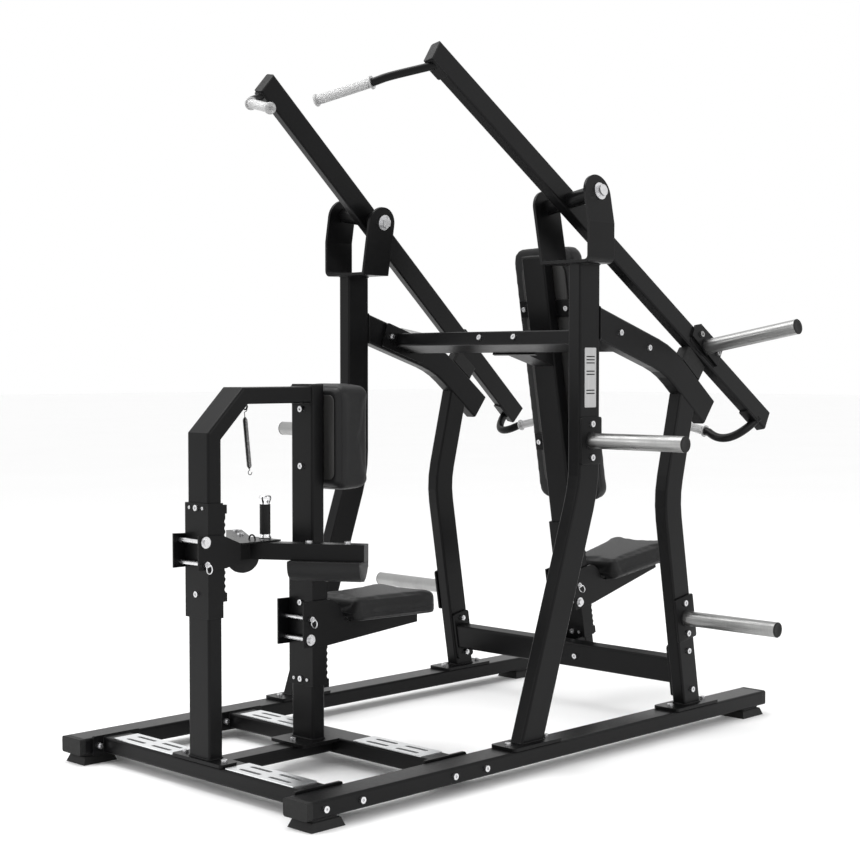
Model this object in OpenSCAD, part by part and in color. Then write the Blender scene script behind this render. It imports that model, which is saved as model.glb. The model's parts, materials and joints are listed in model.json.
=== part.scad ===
// Plate-loaded lat pulldown machine with a seated press station behind it.
// X is across the machine, Y runs from the pulldown station (-Y) to the press station (+Y), Z is up.
// Everything except the thigh, seat and press stations is mirrored about X = 0.

/* [Base] */
// Length of each floor rail, end caps included
rail_length = 2170; // [2100:10:2300]
// Distance between the centre lines of the two floor rails
rail_spacing = 1070; // [1050:5:1100]
// Height of a foot, which lifts the rails off the floor
foot_height = 33; // [25:1:45]

/* [Tube] */
// Wide side of the frame tube
tube_wide = 100; // [90:1:110]
// Narrow side of the frame tube
tube_narrow = 50; // [45:1:55]
// Wall thickness of the frame tube
tube_wall = 3; // [2:0.5:5]
// Outer corner radius of the frame tube
tube_radius = 8; // [5:0.5:12]

/* [Levers] */
// Height of the lever pivots
pivot_height = 1765; // [1740:5:1800]
// Distance of each lever pivot from the middle plane
pivot_offset = 461.5; // [455:0.5:466]
// Slope of each pivot axis, which rises outwards
pivot_tilt = 10; // [8:0.5:12]
// Slope of each lever, down towards the press station
lever_slope = 38; // [37.5:0.1:38.5]
// Length of the lever ahead of its pivot
lever_front = 681; // [660:1:690]
// Length of the lever behind its pivot
lever_rear = 1182; // [1150:1:1190]
// Width of the lever tube
lever_width = 38; // [34:1:42]
// Depth of the lever tube
lever_depth = 76; // [70:1:80]

/* [Horns] */
// Diameter of the weight plate horns
horn_diameter = 50; // [48:0.5:50]
// Length of a horn, cap included
horn_length = 362; // [300:1:380]
// Thickness of the cap on the end of a horn
horn_cap = 3; // [2:0.5:6]

/* [Stations] */
// Height of the thigh carriage lock pin
thigh_height = 670; // [640:1:690]
// Height of the pulldown seat lock pin
seat_height = 468; // [440:1:490]
// Lean of the press post, back towards the levers
press_lean = 10; // [9:0.5:11]

/* [Hidden] */
$fn = 48;

paint = "#1b1b1c";
bright = "#c9c9cb";
plastic = "#101011";
vinyl = "#151516";
silver = "#b4b6b8";

// Levels of the base
rail_x = rail_spacing / 2;
rail_bottom = foot_height;
rail_top = foot_height + tube_narrow;
rail_middle = foot_height + tube_narrow / 2;
rail_end = rail_length / 2;
rail_inner = rail_x - tube_wide / 2;
rail_outer = rail_x + tube_wide / 2;
end_cap = 20;
plate = 10;
cross_front_y = -955;
cross_mid_y = -455;
flange_bolt_y = 67;
foot_y = 1009;
foot_length = 122;
spine_bottom = rail_bottom + 5;
spine_size = 40;
tread_width = 90;
tread_length = 300;
tread_x = 277;

// Posts of the pulldown station
front_post_y = -970;
inner_post_y = -570;
arch_height = 1155.5;
arch_rise = 117;
inner_post_bottom = spine_bottom + spine_size + plate;
inner_post_top = 1182;
post_plate_top = rail_top + plate;

// Main frame, one side: points are [Y, Z] on the tube's centre line
frame_x = 535;
box_middle_y = 27;
main_foot = [-149, post_plate_top];
main_knee = [120, 868];
main_top = [120, 1565];
rear_foot = [677, post_plate_top];
rear_knee = [558.5, 800];
rear_top = [638.9, 1120.1];
arm_start = [170.3, 1379.5];
arm_knee = [536, 1264.5];
arm_end = [765, 1085.5];
rear_depth = 90;

// Bends
bend_reach = 70;
bend_steps = 3;

// Pivot fork
pivot = [pivot_offset, 120, pivot_height];
pin_diameter = 25;
pin_clearance = 0.1;
fork_inner = -84;
fork_outer = 136;
ear_thickness = 10;
ear_half = 61;
ear_centre = -8;
fork_base_bottom = main_top[1];
hub_diameter = 50;
washer_diameter = 54;

// Crossbars
crossbar = [346, 1327];
crossbar_lean = 17.5;
crossbar_half = 500;
rear_cross = [650, 208];
rear_cross_lean = 9.5;

// Press post: [Y, Z] of the centre line's foot
press_foot = [764.5, 150];
press_length = 1500;
press_seat_z = 316;
back_pad_low = 607;
back_pad_length = 924;

// Adjusting guides in a post's own frame, with z along the post
wrap_wall = 5;
wrap_half = 55;
rack_depth = 22;
rack_gap = 6;
rack_pitch = 20;
plate_inner = 57;
plate_outer = 63;
lock_y = -46;
lock_diameter = 12;
lock_drop = 64;

// Thigh arms
thigh_beam_top = 717;
thigh_apex_y = -808;
thigh_beam_end = -735;
thigh_sweep = 32;
thigh_arm = 367;

// Pads
chest_pad_half = 115;
chest_pad_bottom = 860;
chest_pad_top = 1187;
seat_half_rear = 145;
seat_half_front = 116;
seat_thick = 71;

// Fasteners
bolt_d = 12;
bolt_hole = 12.6;
small_hole = 6.6;
head_d = 19;
head_h = 8;
slack = 0.3;
joint_swell = 0.6;
far = 4000;

// ---- shared shapes ----

function lean(from, to) = atan2(to[0] - from[0], to[1] - from[1]);
function mix(a, b, t) = a * (1 - t) + b * t;
function toward(from, to, reach) = from + (to - from) * reach / norm(to - from);
function curve(a, b, c, t) = mix(mix(a, b, t), mix(b, c, t), t);
function bend(a, b, c) =
    let (start = toward(b, a, bend_reach), end = toward(b, c, bend_reach))
    [for (i = [0:bend_steps]) curve(start, b, end, i / bend_steps)];
function path_cut(path, i, first, last) =
    i == 0 ? first
    : i == len(path) - 1 ? last
    : (lean(path[i - 1], path[i]) + lean(path[i], path[i + 1])) / 2;

module mirrored() {
    children();
    mirror([1, 0, 0]) children();
}

module side(right) {
    if (right)
        children();
    else
        mirror([1, 0, 0]) children();
}

module rounded_rect(w, h, r) {
    square([w - 2 * r, h], center = true);
    square([w, h - 2 * r], center = true);
    for (x = [-1, 1], y = [-1, 1])
        translate([x * (w / 2 - r), y * (h / 2 - r)]) circle(r);
}

module tube_section(w, h, r = tube_radius) {
    difference() {
        rounded_rect(w, h, r);
        rounded_rect(w - 2 * tube_wall, h - 2 * tube_wall, r - tube_wall);
    }
}

// Frame at a point of the YZ plane, with z leaning towards +Y
module aim(point, angle) {
    translate([0, point[0], point[1]]) rotate([-angle, 0, 0]) children();
}

// Tube along a path in the YZ plane, mitred at each point
module path_tube(path, x_size, depth, first = 0, last = 0) {
    count = len(path) - 1;
    for (i = [0:count - 1])
        difference() {
            aim(path[i], lean(path[i], path[i + 1]))
                translate([0, 0, -depth])
                    linear_extrude(norm(path[i + 1] - path[i]) + 2 * depth)
                        tube_section(x_size, depth);
            aim(path[i], path_cut(path, i, first, last))
                translate([-far / 2, -far / 2, -far]) cube(far);
            aim(path[i + 1], path_cut(path, i + 1, first, last))
                translate([-far / 2, -far / 2, 0]) cube(far);
        }
}

// Tube along X between two X positions
module cross_tube(from, to, y_size, z_size) {
    translate([from, 0, 0]) rotate([90, 0, 90])
        linear_extrude(to - from) tube_section(y_size, z_size);
}

module block(low, high) {
    translate(low) cube(high - low);
}

// Round plate with straight sides, drawn in its own plane
module rounded_plate(w, h, thickness, r = 10) {
    linear_extrude(thickness) rounded_rect(w, h, r);
}

// Child along the line from one point to another
module along(from, to) {
    v = to - from;
    translate(from) rotate([0, acos(v[2] / norm(v)), atan2(v[1], v[0])]) children();
}

module rod(points, d) {
    for (i = [0:len(points) - 2])
        along(points[i], points[i + 1]) cylinder(h = norm(points[i + 1] - points[i]), d = d);
    for (i = [1:len(points) - 2])
        translate(points[i]) sphere(d = d + joint_swell);
}

// Cap screw: z = 0 is the face that the washer sits on, the head is above it
module screw(length, d = bolt_d, head = head_d, tall = head_h) {
    difference() {
        cylinder(h = tall, d = head);
        translate([0, 0, tall / 2]) cylinder(h = tall, d = head * 0.5, $fn = 6);
    }
    translate([0, 0, -length]) cylinder(h = length + 1, d = d);
}

module hole(length, d = bolt_hole) {
    translate([0, 0, -length]) cylinder(h = length + 20, d = d);
}

module nut(at) {
    translate([0, 0, at]) difference() {
        cylinder(h = 10, d = 21, $fn = 6);
        translate([0, 0, -1]) cylinder(h = 12, d = bolt_d + slack);
    }
}

// ---- fastener places: each puts its children on the face, with z pointing out ----

module rail_bolts() {
    mirrored()
        for (y = [cross_front_y, cross_mid_y], s = [-1, 1])
            translate([rail_outer, y + s * flange_bolt_y, rail_middle]) rotate([0, 90, 0]) children();
}

module foot_plate_bolts() {
    mirrored()
        for (y = [-236, -62, 585, 769])
            translate([rail_x, y, post_plate_top]) children();
}

module post_foot_bolts() {
    for (x = [-92, 92])
        translate([x, cross_front_y - 20, post_plate_top]) children();
    for (y = [-632, -523])
        translate([0, y, inner_post_bottom]) children();
}

module arm_bolts() {
    mirrored()
        for (s = [-1, 1])
            translate([frame_x + tube_narrow / 2, 0, 0])
                aim(crossbar, crossbar_lean) translate([0, s * 79, 0]) rotate([0, 90, 0]) children();
}

module rear_cross_bolts() {
    mirrored()
        for (s = [-1, 1])
            translate([frame_x + tube_narrow / 2, 0, 0])
                aim(rear_cross, -rear_cross_lean) translate([0, 10, s * 68]) rotate([0, 90, 0]) children();
}

module crossbar_face_bolts() {
    for (x = [-80, 80])
        translate([x, 0, 0])
            aim(crossbar, crossbar_lean) translate([0, -tube_wide / 2, 0]) rotate([90, 0, 0]) children();
}

module rear_face_bolts() {
    for (x = [-85, 85])
        translate([x, 0, 0])
            aim(rear_cross, -rear_cross_lean)
                translate([0, -tube_narrow / 2, 0]) rotate([90, 0, 0]) children();
}

// Storage horns stand on plates on the outer faces of the uprights
horn_places = [[119.5, 1008, 0], [627, 391, 9.5]];
horn_plate_size = [100, 150];
horn_face = frame_x + tube_narrow / 2;

module horn_plates() {
    mirrored()
        for (p = horn_places)
            translate([horn_face, 0, 0]) aim([p[0], p[1]], -p[2]) rotate([0, 90, 0]) children();
}

module horn_plate_bolts() {
    horn_plates()
        for (s = [-1, 1])
            translate([s * 53, 0, 8]) children();
}

// ---- base ----

module base_rails() {
    color(paint) difference() {
        mirrored()
            translate([rail_x, rail_end - end_cap, rail_middle]) rotate([90, 0, 0])
                linear_extrude(rail_length - 2 * end_cap) tube_section(tube_wide, tube_narrow);
        rail_bolts() hole(120);
        foot_plate_bolts() hole(40);
    }
}

module tube_end_caps() {
    plug_gap = 2 * (tube_wall + slack);
    color(plastic) {
        mirrored()
            for (s = [0, 1])
                mirror([0, s, 0]) translate([rail_x, rail_end, rail_middle]) rotate([90, 0, 0]) {
                    linear_extrude(end_cap) rounded_rect(tube_wide, tube_narrow, tube_radius);
                    linear_extrude(end_cap + 15)
                        rounded_rect(tube_wide - plug_gap, tube_narrow - plug_gap, tube_radius - tube_wall);
                }
        translate([0, inner_post_y, inner_post_top]) {
            linear_extrude(6) rounded_rect(tube_wide, tube_narrow, tube_radius);
            translate([0, 0, -20]) linear_extrude(21)
                rounded_rect(tube_wide - plug_gap, tube_narrow - plug_gap, tube_radius - tube_wall);
        }
        press_frame() translate([0, 0, press_length]) {
            linear_extrude(6) rounded_rect(tube_wide, tube_narrow, tube_radius);
            translate([0, 0, -20]) linear_extrude(21)
                rounded_rect(tube_wide - plug_gap, tube_narrow - plug_gap, tube_radius - tube_wall);
        }
    }
}

module feet() {
    half = foot_length / 2;
    taper = 9;
    neck = 24;
    color(plastic) mirrored()
        for (s = [-1, 1])
            translate([rail_x, s * foot_y, 0]) {
                intersection() {
                    rotate([90, 0, 90]) translate([0, 0, -tube_wide / 2]) linear_extrude(tube_wide)
                        polygon([[-half, 0], [half, 0], [half - taper, neck], [taper - half, neck]]);
                    rotate([90, 0, 0]) translate([0, 0, -half]) linear_extrude(foot_length)
                        polygon([[-tube_wide / 2, 0], [tube_wide / 2, 0],
                            [tube_wide / 2 - taper, neck], [taper - tube_wide / 2, neck]]);
                }
                translate([0, 0, neck]) rounded_plate(tube_wide - 26, foot_length - 26, rail_bottom - neck);
            }
}

module cross_member(y) {
    color(paint) difference() {
        translate([0, y, rail_middle]) {
            cross_tube(-rail_inner + plate, rail_inner - plate, tube_wide, tube_narrow);
            mirrored()
                translate([rail_inner - plate, 0, 0]) rotate([90, 0, 90])
                    rounded_plate(2 * flange_bolt_y + 42, 62, plate, 8);
        }
        rail_bolts() hole(120);
        post_foot_bolts() hole(30);
    }
}

module front_cross_member() cross_member(cross_front_y);
module mid_cross_member() cross_member(cross_mid_y);

module spine_tube() {
    start = cross_front_y + tube_wide / 2;
    color(paint) difference() {
        translate([0, start, spine_bottom + spine_size / 2]) rotate([-90, 0, 0])
            linear_extrude(cross_mid_y - tube_wide / 2 - start) tube_section(2 * spine_size, spine_size);
        post_foot_bolts() hole(30);
    }
}

module tread_plates() {
    slot_long = 95;
    slot_wide = 14;
    color(silver) mirrored()
        for (y = [cross_front_y, cross_mid_y])
            translate([tread_x, y, rail_top]) linear_extrude(3) difference() {
                rounded_rect(tread_length, tread_width, 4);
                for (x = [-65, 65], v = [-20, 20])
                    translate([x, v]) {
                        square([slot_long - slot_wide, slot_wide], center = true);
                        for (e = [-1, 1])
                            translate([e * (slot_long - slot_wide) / 2, 0]) circle(d = slot_wide);
                    }
            }
}

// ---- pulldown station ----

module front_post() {
    corner = arch_height - arch_rise;
    path = [[front_post_y, post_plate_top], [front_post_y, corner],
        [front_post_y + arch_rise, arch_height], [inner_post_y - tube_narrow / 2, arch_height]];
    color(paint) difference() {
        union() {
            path_tube(path, tube_wide, tube_narrow, 0, 90);
            translate([0, cross_front_y - 21, rail_top]) rounded_plate(236, 64, plate);
            eye_ring([0, -817, arch_height - tube_narrow / 2 - 9]);
        }
        post_foot_bolts() hole(30);
        thigh_frame() guide_screws(thigh_wrap, 1) hole(30);
        thigh_frame() guide_pair(thigh_wrap, 1) hole(30, small_hole);
    }
}

// Small welded eye that a spring hooks into
module eye_ring(at) {
    translate(at) rotate([0, 90, 0]) rotate_extrude() translate([8, 0]) circle(d = 5, $fn = 24);
}

module inner_post() {
    color(paint) difference() {
        union() {
            path_tube([[inner_post_y, inner_post_bottom], [inner_post_y, inner_post_top]],
                tube_wide, tube_narrow);
            translate([0, -583, inner_post_bottom - plate]) rounded_plate(160, 152, plate);
        }
        post_foot_bolts() hole(30);
        seat_frame() guide_screws(seat_wrap, -1) hole(30);
        seat_frame() guide_pair(seat_wrap, -1) hole(30, small_hole);
        chest_bolts() hole(60);
    }
}

module chest_bolts() {
    for (z = [935, 1111])
        translate([0, inner_post_y - tube_narrow / 2, z]) rotate([90, 0, 0]) children();
}

// ---- main frame ----

module main_uprights() {
    path = concat([main_foot], bend(main_foot, main_knee, main_top), [main_top]);
    color(paint) difference() {
        mirrored()
            union() {
                translate([frame_x, 0, 0]) path_tube(path, tube_narrow, tube_wide);
                translate([rail_x, -149, rail_top]) rounded_plate(tube_wide, 224, plate);
            }
        foot_plate_bolts() hole(40);
        horn_plate_bolts() hole(25);
    }
}

module rear_uprights() {
    path = concat([rear_foot], bend(rear_foot, rear_knee, rear_top), [rear_top]);
    arm_lean = lean(arm_knee, arm_end);
    color(paint) difference() {
        mirrored()
            union() {
                translate([frame_x, 0, 0]) path_tube(path, tube_narrow, rear_depth, 0, arm_lean - 90);
                translate([rail_x, 677, rail_top]) rounded_plate(tube_wide, 240, plate);
            }
        foot_plate_bolts() hole(40);
        horn_plate_bolts() hole(25);
        rear_cross_bolts() hole(80);
    }
}

module upper_arms() {
    path = concat([arm_start], bend(arm_start, arm_knee, arm_end), [arm_end]);
    color(paint) difference() {
        mirrored()
            translate([frame_x, 0, 0])
                path_tube(path, tube_narrow, tube_wide, 90, lean(arm_knee, arm_end));
        arm_bolts() hole(80);
    }
}

module upper_crossbar() {
    color(paint) difference() {
        aim(crossbar, crossbar_lean) {
            cross_tube(-crossbar_half, crossbar_half, tube_wide, tube_narrow);
            mirrored()
                translate([crossbar_half, 0, 0]) rotate([90, 0, 90]) rounded_plate(218, 90, plate);
        }
        arm_bolts() hole(80);
        crossbar_face_bolts() hole(120);
    }
}

module rear_cross_member() {
    color(paint) difference() {
        aim(rear_cross, -rear_cross_lean) {
            cross_tube(-crossbar_half, crossbar_half, tube_narrow, 90);
            mirrored()
                translate([crossbar_half, 10, 0]) rotate([90, 0, 90]) rounded_plate(80, 180, plate);
        }
        rear_cross_bolts() hole(80);
        rear_face_bolts() hole(70);
    }
}

// ---- lever pivots ----

module at_pivot() {
    translate(pivot) rotate([0, -pivot_tilt, 0]) children();
}

// z = 0 on the lever's centre line, y runs down it to the weighted end
module along_lever() {
    at_pivot() rotate([-lever_slope, 0, 0]) children();
}

// X and Z of a point in the pivot's frame, and the X of a plane of that frame at a height
function at_fork(x, z) = [pivot[0] + x * cos(pivot_tilt) - z * sin(pivot_tilt),
    pivot[2] + x * sin(pivot_tilt) + z * cos(pivot_tilt)];
function ear_x(x, z) = pivot[0] + x / cos(pivot_tilt) - (z - pivot[2]) * tan(pivot_tilt);

module fork() {
    base_top = fork_base_bottom + ear_thickness;
    head_top = 60;
    kink = at_fork(fork_outer, -100);
    bend_r = 22;
    inner_r = bend_r - ear_thickness;
    corner = [kink[0] - bend_r, fork_base_bottom + bend_r];
    face_in = fork_outer - ear_thickness;
    kink_in = pivot[2] - (kink[0] - ear_thickness - pivot[0] - face_in / cos(pivot_tilt)) / tan(pivot_tilt);
    profile = concat(
        [[ear_x(fork_inner, fork_base_bottom), fork_base_bottom]],
        [for (a = [-90:15:0]) corner + bend_r * [cos(a), sin(a)]],
        [kink, at_fork(fork_outer, head_top), at_fork(face_in, head_top), [kink[0] - ear_thickness, kink_in]],
        [for (a = [0:-15:-90]) corner + inner_r * [cos(a), sin(a)]],
        [[ear_x(fork_inner + ear_thickness, base_top), base_top],
            at_fork(fork_inner + ear_thickness, head_top), at_fork(fork_inner, head_top)]);
    difference() {
        intersection() {
            translate([0, pivot[1] + 90, 0]) rotate([90, 0, 0]) linear_extrude(200) polygon(profile);
            at_pivot() translate([-250, 0, 0]) rotate([90, 0, 90]) linear_extrude(500) {
                translate([ear_centre, ear_centre]) circle(ear_half, $fn = 96);
                translate([ear_centre - ear_half, -400]) square([2 * ear_half, 400 + ear_centre]);
            }
        }
        at_pivot() rotate([0, 90, 0]) cylinder(h = 400, d = pin_diameter + slack, center = true);
    }
}

module pivot_clevises() {
    color(paint) mirrored() fork();
}

module pivot_bolts() {
    gap = 0.4;
    color(bright) mirrored() at_pivot() rotate([0, 90, 0]) {
        translate([0, 0, fork_inner - 4]) cylinder(h = fork_outer - fork_inner + 8, d = pin_diameter);
        for (z = [fork_inner - 4 - gap, fork_outer + gap])
            translate([0, 0, z]) cylinder(h = 4, d = washer_diameter);
        translate([0, 0, fork_inner - 18]) cylinder(h = 15, d = 38, $fn = 6);
        translate([0, 0, fork_outer + 4]) cylinder(h = 14, d = 36);
    }
}

// Rubber block on the arm, with its top face parallel to the lever's underside
module lever_bumpers() {
    gap = 0.4;
    arm_lean = lean(arm_knee, arm_end);
    color(plastic) mirrored()
        difference() {
            translate([frame_x, 0, 0]) aim(mix(arm_knee, arm_end, 0.42), arm_lean)
                translate([0, -tube_wide / 2 - gap, 0]) rotate([90, 0, 0])
                    rounded_plate(tube_narrow - 4, 120, 90, 10);
            along_lever() block([-200, 0, -lever_depth / 2 - gap], [200, 1000, 200]);
        }
}

// ---- levers ----

module lever(right) {
    horn_y = 775;
    color(paint) side(right) difference() {
        union() {
            along_lever() {
                rotate([90, 0, 0]) translate([0, 0, -lever_rear + 4])
                    linear_extrude(lever_rear + lever_front - 8)
                        tube_section(lever_width, lever_depth, 6);
                translate([lever_width / 2, horn_y, 20]) rotate([90, 0, 90])
                    linear_extrude(8) polygon([[-84, -24], [-84, 22], [-62, 44], [76, 44], [76, -34]]);
                lever_saddle(-lever_front + 40);
                lever_saddle(lever_rear - 78);
            }
            at_pivot() rotate([0, 90, 0]) {
                bush_gap = 0.5;
                translate([0, 0, fork_inner + ear_thickness + bush_gap])
                    cylinder(h = fork_outer - fork_inner - 2 * ear_thickness - 2 * bush_gap, d = hub_diameter);
            }
        }
        at_pivot() rotate([0, 90, 0])
            cylinder(h = 500, d = pin_diameter + pin_clearance, center = true);
        along_lever() lever_horn_bolts() hole(12);
    }
}

// Plate under the lever that a handle's tube is welded to
module lever_saddle(y) {
    translate([0, y, -lever_depth / 2 - 5]) rounded_plate(lever_width, 70, 5.5, 6);
}

module lever_horn_bolts() {
    for (y = [-46, 58])
        translate([lever_width / 2 + 8, 775 + y, 30]) rotate([0, 90, 0]) children();
}

module lever_plugs(right) {
    gap = 2 * (tube_wall + slack);
    color(plastic) side(right) along_lever()
        for (end = [lever_rear, -lever_front])
            translate([0, end, 0]) rotate([sign(end) * 90, 0, 0]) {
                linear_extrude(4) rounded_rect(lever_width, lever_depth, 6);
                linear_extrude(24) rounded_rect(lever_width - gap, lever_depth - gap, 3);
            }
}

module weight_horn(right) {
    color(bright) side(right) along_lever() {
        translate([lever_width / 2 + 8, 775, 12]) rotate([0, 90, 0])
            cylinder(h = horn_length - horn_cap, d = horn_diameter);
        lever_horn_bolts() screw(10, 12, 20, 7);
    }
}

module weight_horn_cap(right) {
    color(plastic) side(right) along_lever()
        translate([lever_width / 2 + 8 + horn_length - horn_cap, 775, 12]) rotate([0, 90, 0])
            cylinder(h = horn_cap, d = horn_diameter - 1);
}

// Handle routes, right-hand side
pull_root = [396, -423, 2134];
pull_bend = [322, -536, 2096];
pull_grip_start = [295, -554.6, 2084.6];
pull_grip_end = [105.5, -626.5, 2039.6];
pull_rod_d = 25;
press_root = [592, 985, 1050];
press_low = [560, 872, 955];
press_collar = [452.7, 916.3, 1008.9];
press_grip_end = [278, 925, 1046];
press_rod_d = 29;
press_stub = 15;
grip_d = 30;
flange_d = 42;

module pull_handle(right) {
    end = toward(pull_grip_start, pull_grip_end, 12);
    color(paint) side(right) difference() {
        rod([pull_root + [14, 20, 4], pull_bend, pull_grip_start, end], pull_rod_d);
        along_lever() block([-60, -900, -lever_depth / 2 - 5.2], [60, 0, 100]);
    }
}

module grip(from, to) {
    length = norm(to - from);
    along(from, to) {
        cylinder(h = 6, d = flange_d);
        translate([0, 0, 6]) cylinder(h = length - 14, d = grip_d);
        translate([0, 0, length - 8]) cylinder(h = 8, d = flange_d - 4);
    }
}

module pull_grip(right) {
    start = toward(pull_grip_start, pull_grip_end, 12 + slack);
    color(bright) side(right) grip(start, pull_grip_end);
}

module press_handle(right) {
    end = toward(press_collar, press_grip_end, press_stub);
    bent = [for (i = [0:8]) curve(press_root + [4, 22, 10], press_low, press_collar, i / 8)];
    color(paint) side(right) difference() {
        rod(concat(bent, [end]), press_rod_d);
        along_lever() block([-60, 800, -lever_depth / 2 - 5.2], [60, 1400, 100]);
    }
}

module press_grip(right) {
    start = toward(press_collar, press_grip_end, press_stub + slack);
    color(bright) side(right) grip(start, press_grip_end);
}

// ---- horns, label, fasteners ----

module storage_horns() {
    color(bright) horn_plates() translate([0, 0, 8])
        cylinder(h = horn_length - horn_cap, d = horn_diameter);
    color(paint) difference() {
        horn_plates() rounded_plate(horn_plate_size[1], horn_plate_size[0], 8, 8);
        horn_plate_bolts() hole(25);
    }
}

module storage_horn_caps() {
    color(plastic) horn_plates() translate([0, 0, 8 + horn_length - horn_cap])
        cylinder(h = horn_cap, d = horn_diameter - 1);
}

module label_plate() {
    color(silver) translate([horn_face, 120, 1207]) rotate([90, 0, 90]) rounded_plate(56, 188, 1.5, 4);
}

module frame_fasteners() {
    color(bright) {
        rail_bolts() {
            screw(124);
            nut(-120);
        }
        foot_plate_bolts() screw(22);
        post_foot_bolts() screw(22);
        arm_bolts() {
            screw(74);
            nut(-70.2);
        }
        rear_cross_bolts() {
            screw(74);
            nut(-70.2);
        }
        crossbar_face_bolts() screw(112);
        rear_face_bolts() screw(62);
        horn_plate_bolts() screw(20, 12, 20, 7);
    }
}

// ---- press station ----

module press_frame() {
    translate([0, press_foot[0], press_foot[1]]) rotate([press_lean, 0, 0]) children();
}

module press_post() {
    color(paint) difference() {
        press_frame() {
            linear_extrude(press_length) tube_section(tube_wide, tube_narrow);
            // Tabs that carry the back pad
            for (z = back_pad_tabs)
                difference() {
                    block([-118, tube_narrow / 2 - 8, z - 30], [118, tube_narrow / 2, z + 30]);
                    block([-45, 0, z - 40], [45, tube_narrow / 2 - 1, z + 40]);
                }
        }
        press_station() guide_screws(press_wrap, -1) hole(30);
        press_station() guide_pair(press_wrap, -1) hole(30, small_hole);
        back_pad_bolts() hole(40);
    }
}

back_pad_tabs = [826, 1314];

module back_pad_bolts() {
    press_frame()
        for (z = back_pad_tabs, x = [-98, 98])
            translate([x, tube_narrow / 2 - 8, z]) rotate([90, 0, 0]) children();
}

// Y of the press post's front face at a height
function front_of_post(z) = press_foot[0] - (z - press_foot[1]) * tan(press_lean)
    - tube_narrow / 2 / cos(press_lean);

// Upper bracket under the crossbar and lower channel on the rear crossbar
module post_brackets() {
    color(paint) difference() {
        union() {
            // Upper wedge: two cheeks and a sole between crossbar and post
            for (x = [-48, 40])
                translate([x, 0, 0]) rotate([90, 0, 90]) linear_extrude(8)
                    polygon([[400.5, 1329], [front_of_post(1345) - slack, 1345],
                        [front_of_post(1243) - slack, 1243], [398, 1284]]);
            translate([-40, 0, 0]) rotate([90, 0, 90]) linear_extrude(80)
                polygon([[398, 1292], [front_of_post(1251) - slack, 1251],
                    [front_of_post(1243) - slack, 1243], [398, 1284]]);
            aim(crossbar, crossbar_lean) block([-100, tube_wide / 2 + slack, -30],
                [100, tube_wide / 2 + 12, 30]);
            // Lower channel between the rear crossbar and the post
            aim(rear_cross, -rear_cross_lean) {
                block([-110, tube_narrow / 2 + slack, -40], [110, tube_narrow / 2 + 8, 40]);
                for (x = [-50, 42])
                    block([x, tube_narrow / 2, -40], [x + 8, 82, 40]);
            }
        }
        press_frame() {
            block([-51, -tube_narrow / 2 - slack, -50], [51, 100, 1500]);
            block([-60, -tube_narrow / 2 - wrap_wall - slack, press_wrap[0] - 1], [60, 100, press_wrap[1]]);
        }
        crossbar_face_bolts() hole(120);
        rear_face_bolts() hole(70);
    }
}

// ---- adjusting guides ----

// [low z, high z] of each wrap in its post's frame
thigh_wrap = [507, 844];
seat_wrap = [256, 583];
press_wrap = [112, 540];

module thigh_frame() {
    translate([0, front_post_y, 0]) children();
}

module seat_frame() {
    translate([0, inner_post_y, 0]) children();
}

module press_station() {
    press_frame() children();
}

// One bolt near each end of the wrap, on the post's middle line
module guide_screws(span, end) {
    for (z = end > 0 ? [span[1] - 14, span[0] + 70] : [span[0] + 19, span[1] - 70])
        translate([0, -tube_narrow / 2 - wrap_wall, z]) rotate([90, 0, 0]) children();
}

// Two small bolts beside the bolt that is nearest an end of the wrap
module guide_pair(span, end) {
    for (x = [-31, 31])
        translate([x, -tube_narrow / 2 - wrap_wall, end > 0 ? span[1] - 14 : span[0] + 19])
            rotate([90, 0, 0]) children();
}

module wrap(span, end) {
    difference() {
        translate([0, 0, span[0]]) linear_extrude(span[1] - span[0]) difference() {
            translate([0, -wrap_wall / 2]) square([2 * wrap_half, tube_narrow + wrap_wall], center = true);
            translate([0, slack / 2]) square([tube_wide + 2 * slack, tube_narrow + slack], center = true);
            translate([0, tube_narrow / 2]) square([tube_wide + 2 * slack, 20], center = true);
        }
        guide_screws(span, end) hole(30);
        guide_pair(span, end) hole(30, small_hole);
    }
}

module guide_wraps() {
    color(paint) {
        thigh_frame() wrap(thigh_wrap, 1);
        seat_frame() wrap(seat_wrap, -1);
        press_station() wrap(press_wrap, -1);
    }
}

// Toothed strip behind the post, held off it by an end block at each end
module rack(low, high) {
    face = tube_narrow / 2 + slack;
    tip = face + rack_depth;
    block_h = 26;
    teeth = floor((high - low - 2 * block_h) / rack_pitch);
    for (s = [-1, 1])
        translate([s * 37 - 5, 0, 0]) difference() {
            union() {
                block([0, face + rack_gap, low], [10, tip - 4, high]);
                for (z = [low, high - block_h])
                    block([0, face, z], [10, tip + 2, z + block_h]);
            }
            for (i = [0:teeth - 1])
                translate([-1, tip + 1, low + block_h + (i + 0.5) * rack_pitch]) rotate([0, 90, 0])
                    cylinder(h = 12, r = 8.5, $fn = 24);
        }
}

module guide_racks() {
    color(paint) {
        thigh_frame() rack(552, 837);
        seat_frame() rack(244, 574);
        press_station() rack(108, 530);
    }
}

module guide_bolts() {
    color(bright) {
        thigh_frame() guide_screws(thigh_wrap, 1) screw(16, 10, 18, 6);
        thigh_frame() guide_pair(thigh_wrap, 1) screw(16, 6, 10, 4);
        seat_frame() guide_screws(seat_wrap, -1) screw(16, 10, 18, 6);
        seat_frame() guide_pair(seat_wrap, -1) screw(16, 6, 10, 4);
        press_station() guide_screws(press_wrap, -1) screw(16, 10, 18, 6);
        press_station() guide_pair(press_wrap, -1) screw(16, 6, 10, 4);
    }
}

// ---- fixed pads ----

module soft_block(low, high, r) {
    hull()
        for (x = [low[0] + r, high[0] - r], y = [low[1] + r, high[1] - r], z = [low[2] + r, high[2] - r])
            translate([x, y, z]) sphere(r, $fn = 24);
}

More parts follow.
